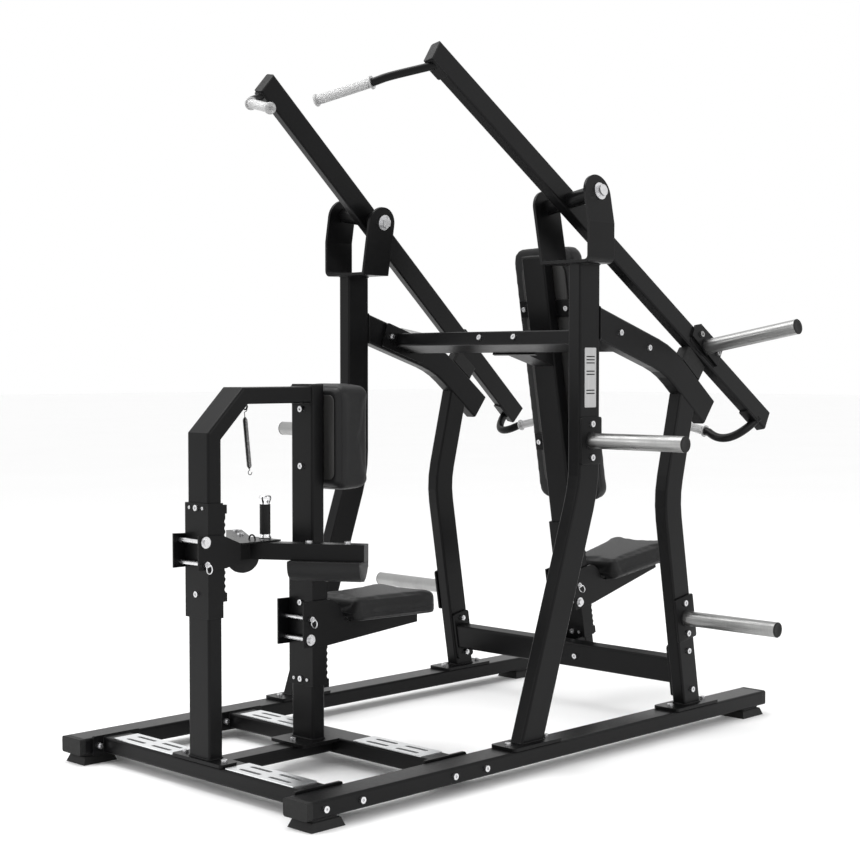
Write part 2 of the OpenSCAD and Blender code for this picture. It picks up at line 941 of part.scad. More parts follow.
// Cushion with an [x, y, radius] disc at each corner, where middle is a y between the two ends
module cushion(corners, middle, thick, r) {
    hull()
        for (c = corners, z = [r, thick - r])
            translate([c[0] - sign(c[0]) * c[2], c[1] - sign(c[1] - middle) * c[2], z])
                rotate_extrude($fn = 32) translate([c[2] - r, 0]) intersection() {
                    circle(r, $fn = 24);
                    translate([0, -r]) square(2 * r);
                }
}

module pad_boards() {
    back = inner_post_y + tube_narrow / 2;
    color(paint) {
        difference() {
            block([-95, back + slack, chest_pad_bottom + 30], [95, back + 5, chest_pad_top - 30]);
            chest_bolts() hole(70);
        }
        difference() {
            press_frame() block([-130, tube_narrow / 2 + slack, back_pad_low + 25],
                [130, tube_narrow / 2 + 8, back_pad_low + back_pad_length - 25]);
            back_pad_bolts() hole(40);
        }
    }
}

module chest_pad() {
    back = inner_post_y + tube_narrow / 2 + 5.5;
    color(vinyl) soft_block([-chest_pad_half, back, chest_pad_bottom],
        [chest_pad_half, back + 138, chest_pad_top], 35);
}

module back_pad() {
    back = tube_narrow / 2 + 8 + slack;
    low = back_pad_low;
    high = back_pad_low + back_pad_length;
    color(vinyl) press_frame() translate([0, back, 0]) rotate([-90, 0, 0])
        cushion([for (x = [-147, 147], z = [low, high]) [x, -z, 50]], -(low + high) / 2, 60, 20);
}

module pad_bolts() {
    color(bright) {
        chest_bolts() screw(54.5);
        back_pad_bolts() screw(15, 10, 18, 6);
    }
}

// ---- spring ----

module counter_spring() {
    top = [0, -817, arch_height - tube_narrow / 2 - 22];
    bottom = [0, -799, 916];
    color(bright) {
        rod([top, [0, -818, 1088]], 5);
        along([0, -818, 1090], [0, -801, 936]) cylinder(h = 154, d = 14);
        rod([[0, -801, 938], bottom], 5);
    }
}

// ---- carriages: y and z are the post's own, z = 0 at the lock pin ----

module lock_axis(z) {
    translate([0, lock_y, z]) rotate([0, 90, 0]) children();
}

module carriage_bolt(z) {
    lock_axis(z) {
        cylinder(h = 2 * plate_outer + 12, d = 14, center = true);
        for (s = [0, 1])
            mirror([0, 0, s]) translate([0, 0, plate_outer + slack]) {
                cylinder(h = 3, d = 34);
                cylinder(h = 10, d = 22);
            }
    }
}

module lock_pin() {
    lock_axis(0) {
        translate([0, 0, -plate_outer - 14]) cylinder(h = 2 * plate_outer + 30, d = lock_diameter);
        translate([0, 0, plate_outer + slack]) cylinder(h = 10, d = 18);
    }
    translate([plate_outer + 18, lock_y, -12]) rotate([90, 0, 0]) rotate_extrude()
        translate([13, 0]) circle(d = 4, $fn = 24);
}

module thigh_station() {
    thigh_frame() translate([0, 0, thigh_height]) children();
}

module thigh_arm_frame(s) {
    mirror([s < 0 ? 1 : 0, 0, 0]) translate([0, thigh_apex_y, thigh_beam_top])
        rotate([0, 0, thigh_sweep]) children();
}

// Beam and arms seen from above, each side drawn in by the inset
module thigh_outline(start, inset) {
    half = tube_narrow / 2 - inset;
    translate([-half, start + inset]) square([2 * half, thigh_beam_end - start - 2 * inset]);
    for (s = [0, 1])
        mirror([s, 0]) translate([0, thigh_apex_y]) rotate(thigh_sweep)
            translate([0, -half]) square([thigh_arm - inset, 2 * half]);
}

module thigh_carriage() {
    beam_start = front_post_y + 58;
    color(paint) {
        difference() {
            union() {
                thigh_station() mirrored()
                    translate([plate_inner, 0, 0]) rotate([90, 0, 90])
                        linear_extrude(plate_outer - plate_inner)
                            polygon([[-70, -17], [-70, 84], [18, 80], [84, 52], [84, -2], [30, -17]]);
                block([-plate_inner, beam_start, thigh_height + 2], [plate_inner, beam_start + 8, thigh_beam_top]);
                difference() {
                    translate([0, 0, thigh_beam_top - tube_narrow])
                        linear_extrude(tube_narrow) thigh_outline(beam_start + 6, 0);
                    translate([0, 0, thigh_beam_top - tube_narrow + tube_wall])
                        linear_extrude(tube_narrow - 2 * tube_wall) thigh_outline(beam_start + 6, tube_wall);
                }
                block([-60, -880, thigh_beam_top], [60, -730, thigh_beam_top + 5]);
                loop_at = [0, -792, thigh_beam_top + 5];
                translate(loop_at) rotate([90, 0, 0]) intersection() {
                    rotate_extrude() translate([14, 0]) circle(d = 5, $fn = 24);
                    translate([-30, 0, -10]) cube([60, 30, 20]);
                }
            }
            thigh_station() {
                lock_axis(0) cylinder(h = 200, d = lock_diameter + 0.6, center = true);
                lock_axis(lock_drop) cylinder(h = 200, d = 14.6, center = true);
            }
            thigh_pad_bolts() hole(20);
        }
    }
}

module thigh_pad_bolts() {
    for (s = [-1, 1])
        thigh_arm_frame(s)
            for (x = [190, 310])
                translate([x, 0, 0]) children();
}

module thigh_carriage_bolt() {
    color(bright) {
        thigh_station() carriage_bolt(lock_drop);
        thigh_pad_bolts() screw(12, 12, 20, 7);
    }
}

module thigh_lock_pin() {
    color(bright) thigh_station() lock_pin();
}

module thigh_hand_grip() {
    color(bright) translate([0, -741.5, thigh_beam_top + 5 + slack]) {
        cylinder(h = 13, d1 = 38, d2 = 30);
        cylinder(h = 110, d = 20);
        translate([0, 0, 13]) cylinder(h = 90, d = 33);
        translate([0, 0, 103]) cylinder(h = 16, d1 = 28, d2 = 38);
        translate([0, 0, 119]) cylinder(h = 12, d = 38);
    }
}

module thigh_pads() {
    half = 55;
    thick = 65;
    color(vinyl)
        for (s = [-1, 1])
            thigh_arm_frame(s) translate([134, 0, -50 - slack]) rotate([90, 0, 90])
                linear_extrude(228) intersection() {
                    translate([0, -thick + half]) circle(half);
                    translate([-half, -thick]) square([2 * half, thick]);
                }
}

// Bracket for a seat, in a post's frame
module seat_bracket() {
    outline = [[-72, -87], [-72, 55], [38, 53], [60, 44], [76, 27], [88, 2], [96, -13], [112, -22],
        [416, -31], [416, -57], [27, -89]];
    difference() {
        union() {
            mirrored()
                translate([plate_inner, 0, 0]) rotate([90, 0, 90])
                    linear_extrude(plate_outer - plate_inner) polygon(outline);
            block([-plate_inner - 1, 54, -78], [plate_inner + 1, 60, 38]);
            translate([0, 112, 0]) rotate([90, 0, 90]) translate([0, 0, -plate_inner - 1])
                linear_extrude(2 * plate_inner + 2) polygon([[0, -28], [300, -37], [300, -31], [0, -22]]);
        }
        lock_axis(0) cylinder(h = 200, d = lock_diameter + 0.6, center = true);
        lock_axis(-lock_drop) cylinder(h = 200, d = 14.6, center = true);
    }
}

// Seat cushion on a bracket
module seat_cushion() {
    corners = [[-seat_half_rear, 443, 40], [seat_half_rear, 443, 40],
        [-seat_half_front, 105, 30], [seat_half_front, 105, 30]];
    translate([0, 0, -21.5]) cushion(corners, 200, seat_thick, 16);
}

module seat_station() {
    seat_frame() translate([0, 0, seat_height]) children();
}

module press_seat_station() {
    press_station() translate([0, 0, press_seat_z]) children();
}

module seat_carriage() {
    color(paint) seat_station() seat_bracket();
}

module seat_carriage_bolt() {
    color(bright) seat_station() carriage_bolt(-lock_drop);
}

module seat_lock_pin() {
    color(bright) seat_station() lock_pin();
}

module seat_pad() {
    color(vinyl) seat_station() seat_cushion();
}

module press_seat_carriage() {
    color(paint) press_seat_station() seat_bracket();
}

module press_seat_bolt() {
    color(bright) press_seat_station() carriage_bolt(-lock_drop);
}

module press_seat_lock_pin() {
    color(bright) press_seat_station() lock_pin();
}

module press_seat_pad() {
    color(vinyl) press_seat_station() seat_cushion();
}

// ---- nodes ----

// The origin is below the middle of the machine's box, a little behind the rails' middle
module placed() {
    translate([0, -box_middle_y, 0]) children();
}

placed() base_rails();
placed() tube_end_caps();
placed() feet();
placed() front_cross_member();
placed() mid_cross_member();
placed() spine_tube();
placed() tread_plates();
placed() front_post();
placed() inner_post();
placed() main_uprights();
placed() pivot_clevises();
placed() pivot_bolts();
placed() upper_arms();
placed() rear_uprights();
placed() upper_crossbar();
placed() rear_cross_member();
placed() press_post();
placed() post_brackets();
placed() lever_bumpers();
placed() storage_horns();
placed() storage_horn_caps();
placed() label_plate();
placed() frame_fasteners();
placed() guide_wraps();
placed() guide_racks();
placed() guide_bolts();
placed() pad_boards();
placed() chest_pad();
placed() back_pad();
placed() pad_bolts();
placed() counter_spring();
placed() lever(true);  // lever_right
placed() lever(false);  // lever_left
placed() lever_plugs(true);  // lever_plugs_right
placed() lever_plugs(false);  // lever_plugs_left
placed() weight_horn(true);  // weight_horn_right
placed() weight_horn(false);  // weight_horn_left
placed() weight_horn_cap(true);  // weight_horn_cap_right
placed() weight_horn_cap(false);  // weight_horn_cap_left
placed() pull_handle(true);  // pull_handle_right
placed() pull_handle(false);  // pull_handle_left
placed() pull_grip(true);  // pull_grip_right
placed() pull_grip(false);  // pull_grip_left
placed() press_handle(true);  // press_handle_right
placed() press_handle(false);  // press_handle_left
placed() press_grip(true);  // press_grip_right
placed() press_grip(false);  // press_grip_left
placed() thigh_carriage();
placed() thigh_carriage_bolt();
placed() thigh_lock_pin();
placed() thigh_hand_grip();
placed() thigh_pads();
placed() seat_carriage();
placed() seat_carriage_bolt();
placed() seat_lock_pin();
placed() seat_pad();
placed() press_seat_carriage();
placed() press_seat_bolt();
placed() press_seat_lock_pin();
placed() press_seat_pad();
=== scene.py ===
"""Looks for the lat pulldown machine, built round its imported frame."""
import json
import math

import bmesh
import bpy
from mathutils import Matrix, Vector


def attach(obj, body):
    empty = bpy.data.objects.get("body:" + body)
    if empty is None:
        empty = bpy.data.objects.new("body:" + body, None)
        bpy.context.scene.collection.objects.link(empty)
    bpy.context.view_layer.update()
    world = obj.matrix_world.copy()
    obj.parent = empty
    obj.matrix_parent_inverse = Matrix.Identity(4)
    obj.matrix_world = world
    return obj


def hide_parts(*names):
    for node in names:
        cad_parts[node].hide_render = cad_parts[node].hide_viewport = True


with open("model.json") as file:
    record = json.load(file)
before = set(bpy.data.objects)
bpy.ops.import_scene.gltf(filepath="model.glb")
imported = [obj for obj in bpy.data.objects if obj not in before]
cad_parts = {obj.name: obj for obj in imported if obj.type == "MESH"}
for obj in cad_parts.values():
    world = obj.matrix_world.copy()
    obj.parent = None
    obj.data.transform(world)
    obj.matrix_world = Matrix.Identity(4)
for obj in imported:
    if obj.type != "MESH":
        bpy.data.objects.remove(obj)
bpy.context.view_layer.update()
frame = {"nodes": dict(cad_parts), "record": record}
CAD = frame["nodes"]
SIDES = {"right": 1, "left": -1}
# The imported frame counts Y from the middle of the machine's box, and the CAD source from the rails' middle
BOX_MIDDLE_Y = 27.0
UP = (0, 0, 1)
ALONG_X = (1, 0, 0)
ALONG_Y = (0, 1, 0)


def mm(x, y, z):
    """A point given as in the CAD source, in millimetres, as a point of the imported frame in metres."""
    return Vector((x, y - BOX_MIDDLE_Y, z)) / 1000.0


def across(point, side):
    """The point, or its mirror image for the left side."""
    return Vector((point.x * side, point.y, point.z))


# ---- materials ----

class Nodes:
    """Short names for a material's node tree."""

    def __init__(self, name):
        self.material = bpy.data.materials.new(name)
        self.material.use_nodes = True
        self.tree = self.material.node_tree
        self.shader = self.tree.nodes["Principled BSDF"]
        self.place = self.add("ShaderNodeTexCoord").outputs["Object"]

    def add(self, kind, inputs=None, **settings):
        node = self.tree.nodes.new(kind)
        for key, value in settings.items():
            setattr(node, key, value)
        for key, value in (inputs or {}).items():
            self.put(node.inputs[key], value)
        return node

    def put(self, socket, value):
        if isinstance(value, bpy.types.NodeSocket):
            self.tree.links.new(value, socket)
        else:
            socket.default_value = value

    def math(self, operation, a, b=0.0, c=0.0):
        return self.add("ShaderNodeMath", {0: a, 1: b, 2: c}, operation=operation).outputs[0]

    def noise(self, scale, detail=3.0, stretch=(1, 1, 1)):
        place = self.add("ShaderNodeMapping", {"Vector": self.place, "Scale": stretch}).outputs[0]
        settings = {"Vector": place, "Scale": scale, "Detail": detail}
        return self.add("ShaderNodeTexNoise", settings).outputs["Fac"]

    def ramp(self, value, low, high, start=0.0, end=1.0):
        """The value, read between start and end, spread from low to high."""
        return self.add("ShaderNodeMapRange", {"Value": value, "From Min": start, "From Max": end,
                                               "To Min": low, "To Max": high}).outputs[0]

    def tint(self, share, dark, light):
        mix = self.add("ShaderNodeMix", data_type="RGBA")
        self.put(mix.inputs["Factor"], share)
        self.put(mix.inputs["A"], (*dark, 1) if isinstance(dark, tuple) else dark)
        self.put(mix.inputs["B"], (*light, 1) if isinstance(light, tuple) else light)
        return mix.outputs["Result"]

    def rounding(self, radius):
        return self.add("ShaderNodeBevel", {"Radius": radius}, samples=4).outputs[0]

    def edge(self, rounded):
        """About 0 on flat faces and up to 1 along a sharp edge."""
        flat = self.add("ShaderNodeNewGeometry").outputs["Normal"]
        turned = self.add("ShaderNodeVectorMath", {0: rounded, 1: flat}, operation="DOT_PRODUCT")
        return self.ramp(turned.outputs["Value"], 1.0, 0.0, 0.72, 0.995)

    def bump(self, height, distance, normal=None, strength=1.0):
        node = self.add("ShaderNodeBump", {"Height": height, "Distance": distance, "Strength": strength})
        if normal is not None:
            self.put(node.inputs["Normal"], normal)
        return node.outputs[0]

    def finish(self, color, roughness, normal, metallic=0.0, **sockets):
        values = {"Base Color": color, "Roughness": roughness, "Normal": normal, "Metallic": metallic}
        values.update({key.replace("_", " "): value for key, value in sockets.items()})
        for key, value in values.items():
            self.put(self.shader.inputs[key], value)
        return self.material


def powder_coat():
    n = Nodes("powder_coat")
    rounded = n.rounding(0.0016)
    # Edges are painted lighter, broken up by noise: a painted highlight along the rounded edges
    edge_highlight = n.math("MULTIPLY", n.edge(rounded), n.ramp(n.noise(35.0, 5.0), 0.25, 1.0, 0.35, 0.6))
    color = n.tint(n.noise(9.0), (0.0034, 0.0034, 0.0036), (0.0050, 0.0050, 0.0053))
    color = n.tint(n.math("MULTIPLY", edge_highlight, 0.30), color, (0.035, 0.035, 0.036))
    peel = n.bump(n.noise(520.0, 2.0), 0.00012, rounded)
    return n.finish(color, n.ramp(n.noise(60.0), 0.27, 0.36), peel, Specular_IOR_Level=0.13)


def rubber():
    n = Nodes("black_rubber")
    color = n.tint(n.noise(40.0, 5.0), (0.006, 0.006, 0.006), (0.012, 0.012, 0.012))
    grain = n.bump(n.noise(900.0, 4.0), 0.0002, n.rounding(0.0018))
    return n.finish(color, n.ramp(n.noise(90.0), 0.55, 0.72), grain, Specular_IOR_Level=0.25)


def bright_zinc():
    n = Nodes("bright_zinc")
    color = n.tint(n.noise(120.0, 4.0), (0.52, 0.52, 0.53), (0.80, 0.80, 0.81))
    grain = n.bump(n.noise(1400.0, 3.0), 0.00008, n.rounding(0.0009))
    return n.finish(color, n.ramp(n.noise(220.0), 0.20, 0.36), grain, 1.0)


def turned_steel():
    """Steel with fine lathe marks across the machine's X, and slight rub marks from plates."""
    n = Nodes("turned_horn_steel")
    marks = n.noise(30.0, 6.0, (60, 1, 1))
    rubbed = n.noise(14.0, 6.0)
    color = n.tint(marks, (0.24, 0.24, 0.238), (0.43, 0.43, 0.425))
    color = n.tint(n.ramp(rubbed, 0.0, 0.25, 0.5, 0.7), color, (0.20, 0.20, 0.20))
    grain = n.bump(marks, 0.00010, n.rounding(0.0010))
    return n.finish(color, n.ramp(rubbed, 0.26, 0.42, 0.3, 0.7), grain, 1.0)


def knurled_aluminium():
    """Diamond knurl round the piece's own Z axis."""
    ridges_round = 34.0
    climb_rate = 2250.0
    n = Nodes("knurled_aluminium")
    split = n.add("ShaderNodeSeparateXYZ", {0: n.place}).outputs
    turn = n.math("MULTIPLY", n.math("ARCTAN2", split["Y"], split["X"]), ridges_round)
    climb = n.math("MULTIPLY", split["Z"], climb_rate)
    waves = [n.math("ABSOLUTE", n.math("SINE", n.math(way, climb, turn))) for way in ("ADD", "SUBTRACT")]
    height = n.math("MINIMUM", *waves)
    # The grooves are painted darker than the ridges: painted shade in the knurl's grooves
    color = n.tint(n.ramp(height, 0.0, 1.0, 0.0, 0.5), (0.22, 0.22, 0.22), (0.56, 0.56, 0.56))
    grain = n.bump(height, 0.0005, n.rounding(0.0008))
    return n.finish(color, n.ramp(n.noise(150.0), 0.28, 0.40), grain, 1.0)


def plain_metal(name, dark, light, rough, stretch, scale=60.0):
    """Metal with marks that run across the stretched axis. Rough is its lowest and highest roughness."""
    n = Nodes(name)
    brushed = n.noise(scale, 5.0, stretch)
    grain = n.bump(brushed, 0.00006, n.rounding(0.0007))
    return n.finish(n.tint(brushed, dark, light), n.ramp(n.noise(25.0), *rough), grain, 1.0)


def vinyl():
    n = Nodes("pad_vinyl")
    pebbles = {"Vector": n.place, "Scale": 520.0, "Randomness": 1.0}
    cells = n.add("ShaderNodeTexVoronoi", pebbles).outputs["Distance"]
    creases = n.noise(170.0, 6.0)
    height = n.math("ADD", n.ramp(cells, 0.0, 1.0, 0.0, 0.6), n.math("MULTIPLY", creases, 0.5))
    color = n.tint(n.noise(7.0, 4.0), (0.0050, 0.0050, 0.0052), (0.0080, 0.0080, 0.0084))
    # The highest parts of the grain are painted lighter: a painted highlight on the grain's tops
    color = n.tint(n.ramp(height, 0.0, 0.35, 0.75, 1.2), color, (0.014, 0.014, 0.0145))
    return n.finish(color, n.ramp(creases, 0.36, 0.50), n.bump(height, 0.00022),
                    Specular_IOR_Level=0.22, Sheen_Weight=0.015, Sheen_Roughness=0.4)


def printed_plate():
    n = Nodes("blank_plate")
    color = n.tint(n.noise(200.0, 4.0, (1, 1, 0.04)), (0.38, 0.38, 0.38), (0.50, 0.50, 0.50))
    return n.finish(color, n.ramp(n.noise(30.0), 0.30, 0.42), n.rounding(0.0006), 0.6)


def painted_board():
    n = Nodes("painted_board")
    plies = n.noise(24.0, 6.0, (1, 1, 14))
    grain = n.bump(plies, 0.0002, n.rounding(0.001))
    color = n.tint(plies, (0.008, 0.008, 0.008), (0.020, 0.019, 0.018))
    return n.finish(color, n.ramp(plies, 0.5, 0.7), grain)


PAINT = powder_coat()
RUBBER = rubber()
ZINC = bright_zinc()
HORN = turned_steel()
KNURL = knurled_aluminium()
CHROME = plain_metal("polished_chrome", (0.70, 0.70, 0.71), (0.86, 0.86, 0.87), (0.05, 0.14),
                     (1, 1, 1), 12.0)
TREAD = plain_metal("tread_aluminium", (0.66, 0.67, 0.68), (0.92, 0.93, 0.94), (0.26, 0.38), (1, 30, 1))
SPRING = plain_metal("spring_wire", (0.030, 0.030, 0.030), (0.085, 0.085, 0.085), (0.25, 0.42),
                     (1, 1, 1), 300.0)
VINYL = vinyl()
PLATE = printed_plate()
BOARD = painted_board()

SLOT_LOOKS = {
    "frame_paint": PAINT, "black_rubber": RUBBER, "bright_fasteners": ZINC, "horn_steel": HORN,
    "grip_aluminium": KNURL, "chrome_grip": CHROME, "tread_aluminium": TREAD, "blank_plate": PLATE,
    "spring_steel": SPRING, "pad_board": BOARD, "pad_vinyl": VINYL}

for part in frame["record"]["subparts"]:
    for place in CAD[part["node"]].material_slots:
        place.material = SLOT_LOOKS[part["material_slot"]]


# ---- shapes: each returns (points, faces) ----

def sweep(path, radius, sides=24, closed=False):
    """A round bar along a path. The radius is one number, or one for each point."""
    count = len(path)
    radii = radius if isinstance(radius, list) else [radius] * count
    steps = [(path[(i + 1) % count] - path[i - 1 if closed else max(i - 1, 0)])
             if closed or i < count - 1 else path[i] - path[i - 1] for i in range(count)]
    tangents = [s.normalized() for s in steps]
    normal = tangents[0].orthogonal().normalized()
    normals = []
    for i, t in enumerate(tangents):
        if i:
            normal = tangents[i - 1].rotation_difference(t) @ normal
        normals.append(normal)
    twist = 0.0
    if closed:
        last = tangents[-1].rotation_difference(tangents[0]) @ normals[-1]
        twist = math.atan2(last.cross(normals[0]).dot(tangents[0]), last.dot(normals[0]))
    points = []
    for i, (p, t, n) in enumerate(zip(path, tangents, normals)):
        n = Matrix.Rotation(twist * i / count, 3, t) @ n
        b = t.cross(n)
        for k in range(sides):
            a = math.tau * k / sides
            points.append(p + radii[i] * (math.cos(a) * n + math.sin(a) * b))
    rings = count if closed else count - 1
    faces = [(i * sides + k, i * sides + (k + 1) % sides,
              ((i + 1) % count) * sides + (k + 1) % sides, ((i + 1) % count) * sides + k)
             for i in range(rings) for k in range(sides)]
    if not closed:
        faces += [tuple(reversed(range(sides))), tuple(range((count - 1) * sides, count * sides))]
    return points, faces


def lathe(profile, base, tip, sides=48):
    """A turned piece. The profile lists (radius, distance along the line from base to tip)."""
    axis = (tip - base).normalized()
    turn = axis.to_track_quat("Z", "Y")
    points, faces, rings = [], [], []
    for r, z in profile:
        if r < 1e-6:
            rings.append([len(points)] * sides)
            points.append(base + axis * z)
        else:
            rings.append(list(range(len(points), len(points) + sides)))
            for k in range(sides):
                a = math.tau * k / sides
                points.append(base + turn @ Vector((r * math.cos(a), r * math.sin(a), z)))
    for low, high in zip(rings, rings[1:]):
        for k in range(sides):
            loop = [low[k], low[(k + 1) % sides], high[(k + 1) % sides], high[k]]
            faces.append(tuple(dict.fromkeys(loop)))
    return points, faces


def slab(size, matrix, bevel=0.0015, corner=0.0):
    """A plate centred on the matrix, with rounded corners in its own plane and eased edges."""
    mesh = bmesh.new()
    bmesh.ops.create_cube(mesh, size=1.0, matrix=Matrix.Diagonal((*size, 1.0)))
    if corner:
        upright = [e for e in mesh.edges if abs((e.verts[0].co - e.verts[1].co).normalized().z) > 0.9]
        bmesh.ops.bevel(mesh, geom=upright, offset=corner, segments=5, affect="EDGES", profile=0.5)
    sharp = [e for e in mesh.edges if len(e.link_faces) == 2 and e.calc_face_angle(0) > 0.7]
    bmesh.ops.bevel(mesh, geom=sharp, offset=bevel, segments=3, affect="EDGES", profile=0.5)
    mesh.verts.index_update()
    points = [matrix @ v.co for v in mesh.verts]
    faces = [tuple(v.index for v in f.verts) for f in mesh.faces]
    mesh.free()
    return points, faces


def mirror(shape):
    points, faces = shape
    return [Vector((-p.x, p.y, p.z)) for p in points], [tuple(reversed(f)) for f in faces]


def both(*shapes):
    return [s for shape in shapes for s in (shape, mirror(shape))]


def soften(points, reach, steps=8):
    """The points, with each corner rounded by a curve that starts reach away from it."""
    path = [points[0]]
    for before, corner, after in zip(points, points[1:], points[2:]):
        start = corner + (before - corner).normalized() * min(reach, (before - corner).length * 0.45)
        end = corner + (after - corner).normalized() * min(reach, (after - corner).length * 0.45)
        for i in range(steps + 1):
            t = i / steps
            path.append(start.lerp(corner, t).lerp(corner.lerp(end, t), t))
    return path + [points[-1]]


def frame_at(point, x, z):
    """A matrix at a point with its x and z along these directions."""
    x, z = Vector(x).normalized(), Vector(z).normalized()
    y = z.cross(x)
    return Matrix.Translation(point) @ Matrix((x, y, z)).transposed().to_4x4()


def rectangle(matrix, w, h, corner):
    """A rounded rectangle in a matrix's xy plane, as closely spaced points."""
    pitch = 0.0035
    loop = []
    corners = [(w / 2 - corner, h / 2 - corner), (corner - w / 2, h / 2 - corner),
               (corner - w / 2, corner - h / 2), (w / 2 - corner, corner - h / 2)]
    for i, (x, y) in enumerate(corners):
        for k in range(7):
            a = math.radians(90 * i + 15 * k)
            loop.append(Vector((x + corner * math.cos(a), y + corner * math.sin(a), 0)))
    dense = []
    for a, b in zip(loop, loop[1:] + loop[:1]):
        count = max(1, round((b - a).length / pitch))
        dense += [a.lerp(b, i / count) for i in range(count)]
    return [matrix @ p for p in dense]


def bead(loop, radius=0.0032):
    """A weld bead with the ripples of its puddles."""
    radii = [radius * (1.0 + 0.16 * math.sin(i * 2.1) + 0.08 * math.sin(i * 0.37)) for i in range(len(loop))]
    return sweep(loop, radii, 8, True)


def ring_of(centre, axis, radius):
    """Points of a circle round an axis."""
    count = 64
    turn = Vector(axis).to_track_quat("Z", "Y")
    angles = [math.tau * k / count for k in range(count)]
    return [centre + turn @ Vector((radius * math.cos(a), radius * math.sin(a), 0)) for a in angles]


def make(name, shapes, material, body, sharp=35.0):
    """One object from shapes, which rides on a body."""
    points, faces = [], []
    for shape_points, shape_faces in shapes:
        base = len(points)
        points += shape_points
        faces += [tuple(i + base for i in f) for f in shape_faces]
    data = bpy.data.meshes.new(name)
    data.from_pydata(points, [], faces)
    data.validate()
    solid = bmesh.new()
    solid.from_mesh(data)
    bmesh.ops.recalc_face_normals(solid, faces=solid.faces)
    solid.to_mesh(data)
    solid.free()
    data.shade_smooth()
    data.set_sharp_from_angle(angle=math.radians(sharp))
    data.materials.append(material)
    piece = bpy.data.objects.new(name, data)
    bpy.context.scene.collection.objects.link(piece)
    if body:
        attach(piece, body)
    return piece


# ---- levers: z down the lever's depth, y towards its weighted end ----

TILT = math.radians(10.0)
SLOPE = math.radians(38.0)
LEVER = (Matrix.Translation(mm(461.5, 120, 1765)) @ Matrix.Rotation(-TILT, 4, "Y")
         @ Matrix.Rotation(-SLOPE, 4, "X"))


def on_lever(x, y, z):
    return LEVER @ (Vector((x, y, z)) / 1000.0)


# Root, bend, start of the grip and end of the grip
PULL_POINTS = [mm(404, -411.5, 2136.3), mm(322, -536, 2096), mm(295, -554.6, 2084.6),
               mm(105.5, -626.5, 2039.6)]
PRESS_POINTS = [mm(596, 1007, 1060), mm(560, 872, 955), mm(452.7, 916.3, 1008.9), mm(278, 925, 1046)]
PULL_ROD_RADIUS = 0.0125
PRESS_ROD_RADIUS = 0.0145


def grip(name, start, end, body):
    """A knurled sleeve with a flange at each end, modelled along its own Z."""
    length = (end - start).length
    body_r, flange_r, tip_r = 0.015, 0.021, 0.019
    profile = [(0.0, 0.0), (flange_r - 0.0015, 0.0), (flange_r, 0.0015), (flange_r, 0.0045),
               (flange_r - 0.0015, 0.006), (body_r + 0.0006, 0.0062), (body_r - 0.0008, 0.0075),
               (body_r - 0.0008, 0.0105), (body_r, 0.0118)]
    profile += [(body_r, 0.0118 + (length - 0.0308) * i / 12) for i in range(1, 13)]
    profile += [(body_r - 0.0008, length - 0.0172), (body_r - 0.0008, length - 0.0098),
                (body_r + 0.0005, length - 0.0085), (tip_r - 0.0015, length - 0.008),
                (tip_r, length - 0.0065), (tip_r, length - 0.002), (tip_r - 0.002, length),
                (0.006, length), (0.005, length - 0.0015), (0.0, length - 0.0015)]
    piece = make(name, [lathe(profile, Vector((0, 0, 0)), Vector(UP), 64)], KNURL, None, 28.0)
    turn = (end - start).to_track_quat("Z", "Y").to_matrix().to_4x4()
    piece.matrix_world = Matrix.Translation(start) @ turn
    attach(piece, body)
    return piece


# Millimetres on the lever: where the weight horn stands, and its bar without the cap
HORN_BAR = 359
HORN_FOOT_X = 27
HORN_Y, HORN_Z = 775, 12
HORN_WELD_RADIUS = 0.0262
CAP_THICKNESS = 3
CAP_PROFILE = [(0.0, 0.0), (0.0246, 0.0), (0.0252, 0.0004), (0.0252, 0.0016), (0.0244, 0.0026),
               (0.0225, 0.0031), (0.016, 0.0033), (0.0145, 0.0025), (0.0, 0.0023)]
SADDLE_YS = (-641, 1104)

